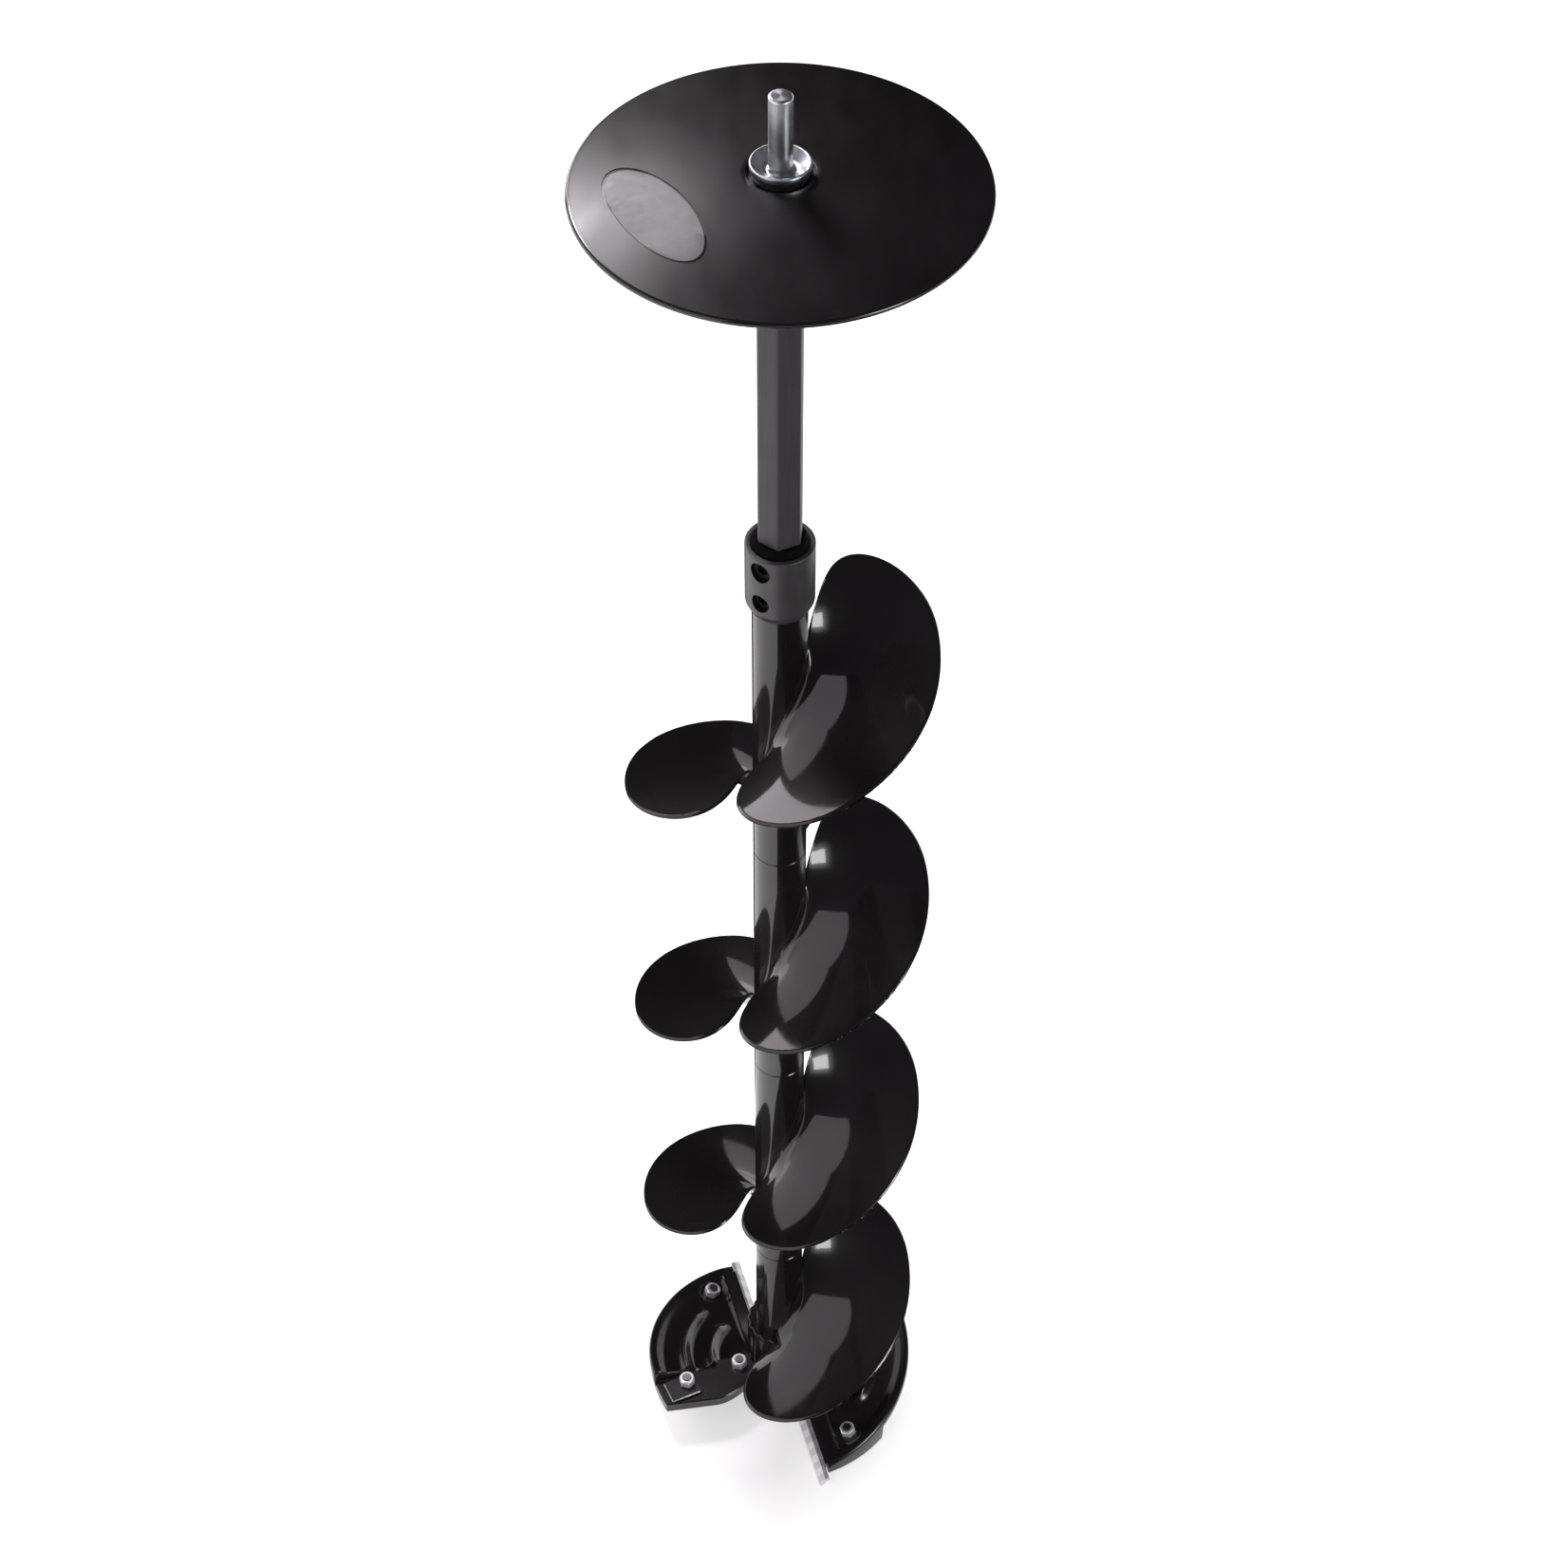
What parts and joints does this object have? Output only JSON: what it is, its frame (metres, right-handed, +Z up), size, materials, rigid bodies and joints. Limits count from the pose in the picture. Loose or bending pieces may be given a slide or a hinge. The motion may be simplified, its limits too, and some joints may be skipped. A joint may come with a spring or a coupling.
{
  "type": "ice fishing auger",
  "caption": "Drill-driven ice auger: black moulded screw flights on a hex shaft, bladed cutting head below, stop disc and round chuck shank above.",
  "frame": {"origin": "on the auger's axis, in the plane of the cutting edges", "axes": "+Z up along the axis to the chuck shank, -Y towards the side the picture shows"},
  "size_m": [0.2174, 0.2174, 1.122],
  "materials": {
    "flight_plastic": "high-gloss black moulded nylon",
    "head_plastic": "semi-gloss black moulded nylon",
    "disc_plastic": "satin black moulded plastic",
    "coated_steel": "satin dark grey coating on a hexagonal steel tube",
    "coupler_coat": "satin dark grey coating",
    "zinc_steel": "bright zinc plating",
    "bare_steel": "plain machined steel",
    "blade_steel": "ground stainless steel",
    "plate_steel": "blackened steel, worn bright along the edges",
    "seal_rubber": "black rubber",
    "black_oxide": "black oxide"
  },
  "bodies": {
    "auger": {"coupler": "coupler_coat", "dust_seal": "seal_rubber", "upper_set_screw": "black_oxide", "lower_set_screw": "black_oxide", "core_shaft": "coated_steel", "core_plug": "bare_steel", "upper_flight": "flight_plastic", "middle_flight": "flight_plastic", "lower_flight": "flight_plastic", "cutting_head": "head_plastic", "rear_blade": "blade_steel", "front_blade": "blade_steel", "blade_bolts": "zinc_steel", "blade_nuts": "zinc_steel", "blade_screws": "zinc_steel", "rear_heel_strap": "bare_steel", "front_heel_strap": "bare_steel", "square_plates": "plate_steel", "tail_bolts": "zinc_steel", "tail_nuts": "zinc_steel", "head_bolt": "zinc_steel", "head_washer": "zinc_steel"},
    "drive": {"drive_shaft": "coated_steel", "shaft_plug": "bare_steel", "lock_pin": "zinc_steel", "drill_adapter": "zinc_steel", "disc_washer": "zinc_steel"},
    "disc": {"stop_disc": "disc_plastic"}
  },
  "joints": [
    {"name": "shaft_slide", "type": "slide", "parent": "auger", "child": "drive", "axis": [0, 0, 1], "range_m": [0, 0.018]},
    {"name": "disc_spin", "type": "hinge", "parent": "drive", "child": "disc", "pos_m": [0, 0, 1.0698], "axis": [0, 0, 1], "continuous": true}
  ]
}
